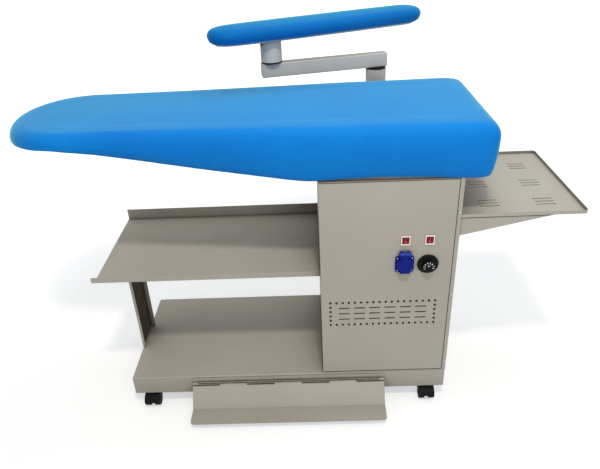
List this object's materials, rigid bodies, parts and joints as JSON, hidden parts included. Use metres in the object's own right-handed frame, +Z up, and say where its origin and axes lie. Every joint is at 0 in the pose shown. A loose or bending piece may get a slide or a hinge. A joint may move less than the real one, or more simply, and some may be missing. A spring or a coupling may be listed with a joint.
{
  "type": "vacuum ironing table",
  "caption": "Padded suction ironing table on casters with a cabinet and fan, swinging sleeve board, iron rest, shelf, controls and foot pedal.",
  "frame": {"origin": "centre of the bounding box at floor level", "axes": "+X along the board towards its square end and the iron rest, -Y towards the user, +Z up"},
  "size_m": [1.5746, 0.8198, 1.0983],
  "materials": {
    "powder_coat": "textured satin powder coat, warm grey",
    "zinc_steel": "zinc plated",
    "blue_cloth": "matt woven cloth, bright blue",
    "silicone_foam": "open soft foam",
    "black_plastic": "black, fine grained",
    "ivory_plastic": "pale ivory",
    "red_plastic": "clear red",
    "blue_plastic": "deep blue",
    "cast_aluminium": "plain",
    "heater_steel": "heat darkened"
  },
  "bodies": {
    "frame": {"base_tray": "powder_coat", "base_rail_left": "zinc_steel", "base_rail_right": "zinc_steel", "left_upright": "powder_coat", "upper_shelf": "powder_coat", "cabinet_floor": "powder_coat", "cabinet_left_wall": "powder_coat", "cabinet_right_wall": "powder_coat", "cabinet_back_panel": "powder_coat", "front_panel": "powder_coat", "cabinet_top_plate": "powder_coat", "board_plenum": "powder_coat", "perforated_plate": "cast_aluminium", "heating_element": "heater_steel", "board_foam": "silicone_foam", "board_cover": "blue_cloth", "suction_duct": "zinc_steel", "blower_shelf": "zinc_steel", "fan_housing": "zinc_steel", "motor_body": "cast_aluminium", "post_elbow": "powder_coat", "sleeve_post": "powder_coat", "arm_bush": "black_plastic", "iron_rest_tray": "powder_coat", "tray_gusset_front": "powder_coat", "tray_gusset_rear": "powder_coat", "pedal_hinge_leaf": "powder_coat", "pedal_hinge_pin": "zinc_steel", "pedal_spring": "zinc_steel", "pedal_switch": "black_plastic", "pedal_switch_bracket": "zinc_steel", "switch_housing_vacuum": "ivory_plastic", "switch_housing_heat": "ivory_plastic", "socket_body": "blue_plastic", "lid_pin": "zinc_steel", "thermostat_body": "zinc_steel", "cable_gland": "black_plastic"},
    "rotor": {"fan_impeller": "cast_aluminium", "motor_shaft": "zinc_steel"},
    "vacuum_rocker": {"switch_rocker_vacuum": "red_plastic"},
    "heat_rocker": {"switch_rocker_heat": "red_plastic"},
    "lid": {"socket_lid": "blue_plastic"},
    "dial": {"thermostat_dial": "black_plastic"},
    "arm": {"swing_arm": "powder_coat", "hub_bush": "black_plastic"},
    "sleeve_board": {"sleeve_hub": "powder_coat", "sleeve_pan": "powder_coat", "sleeve_plate": "cast_aluminium", "sleeve_foam": "silicone_foam", "sleeve_cover": "blue_cloth"},
    "pedal": {"foot_pedal": "powder_coat", "pedal_plunger": "black_plastic"},
    "caster_front_left": {"caster_front_left_yoke": "black_plastic"},
    "wheel_front_left": {"caster_front_left_wheel": "black_plastic"},
    "caster_front_right": {"caster_front_right_yoke": "black_plastic"},
    "wheel_front_right": {"caster_front_right_wheel": "black_plastic"},
    "caster_rear_left": {"caster_rear_left_yoke": "black_plastic"},
    "wheel_rear_left": {"caster_rear_left_wheel": "black_plastic"},
    "caster_rear_right": {"caster_rear_right_yoke": "black_plastic"},
    "wheel_rear_right": {"caster_rear_right_wheel": "black_plastic"}
  },
  "joints": [
    {"name": "fan_spin", "type": "hinge", "parent": "frame", "child": "rotor", "pos_m": [0.26203, -0.06194, 0.5808], "axis": [0, 0, 1], "continuous": true},
    {"name": "vacuum_rocker_tilt", "type": "hinge", "parent": "frame", "child": "vacuum_rocker", "pos_m": [0.30503, -0.29294, 0.59], "axis": [-1, 0, 0], "range_deg": [0, 16]},
    {"name": "heat_rocker_tilt", "type": "hinge", "parent": "frame", "child": "heat_rocker", "pos_m": [0.37103, -0.29294, 0.59], "axis": [-1, 0, 0], "range_deg": [0, 16]},
    {"name": "socket_lid_hinge", "type": "hinge", "parent": "frame", "child": "lid", "pos_m": [0.30503, -0.30744, 0.552], "axis": [-1, 0, 0], "range_deg": [0, 105], "stiffness_Nm_per_rad": 0.006, "springref_deg": -28.65},
    {"name": "thermostat_turn", "type": "hinge", "parent": "frame", "child": "dial", "pos_m": [0.37003, -0.29814, 0.513], "axis": [0, 1, 0], "range_deg": [0, 300]},
    {"name": "arm_swing", "type": "hinge", "parent": "frame", "child": "arm", "pos_m": [0.27403, 0.24806, 0.929], "axis": [0, 0, 1], "continuous": true},
    {"name": "sleeve_swivel", "type": "hinge", "parent": "arm", "child": "sleeve_board", "pos_m": [-0.05889, 0.17425, 0.978], "axis": [0, 0, 1], "continuous": true},
    {"name": "pedal_press", "type": "hinge", "parent": "frame", "child": "pedal", "pos_m": [-0.04297, -0.30214, 0.089], "axis": [1, 0, 0], "range_deg": [0, 5.5], "stiffness_Nm_per_rad": 8, "springref_deg": -12.61, "deforming": ["pedal_spring"]},
    {"name": "swivel_front_left", "type": "hinge", "parent": "frame", "child": "caster_front_left", "pos_m": [-0.48497, -0.27094, 0.05], "axis": [0, 0, 1], "continuous": true},
    {"name": "roll_front_left", "type": "hinge", "parent": "caster_front_left", "child": "wheel_front_left", "pos_m": [-0.48497, -0.29294, 0.02], "axis": [1, 0, 0], "continuous": true},
    {"name": "swivel_front_right", "type": "hinge", "parent": "frame", "child": "caster_front_right", "pos_m": [0.39703, -0.27094, 0.05], "axis": [0, 0, 1], "continuous": true},
    {"name": "roll_front_right", "type": "hinge", "parent": "caster_front_right", "child": "wheel_front_right", "pos_m": [0.39703, -0.29294, 0.02], "axis": [1, 0, 0], "continuous": true},
    {"name": "swivel_rear_left", "type": "hinge", "parent": "frame", "child": "caster_rear_left", "pos_m": [-0.48497, 0.09906, 0.05], "axis": [0, 0, 1], "continuous": true},
    {"name": "roll_rear_left", "type": "hinge", "parent": "caster_rear_left", "child": "wheel_rear_left", "pos_m": [-0.48497, 0.07706, 0.02], "axis": [1, 0, 0], "continuous": true},
    {"name": "swivel_rear_right", "type": "hinge", "parent": "frame", "child": "caster_rear_right", "pos_m": [0.39703, 0.09906, 0.05], "axis": [0, 0, 1], "continuous": true},
    {"name": "roll_rear_right", "type": "hinge", "parent": "caster_rear_right", "child": "wheel_rear_right", "pos_m": [0.39703, 0.07706, 0.02], "axis": [1, 0, 0], "continuous": true}
  ]
}
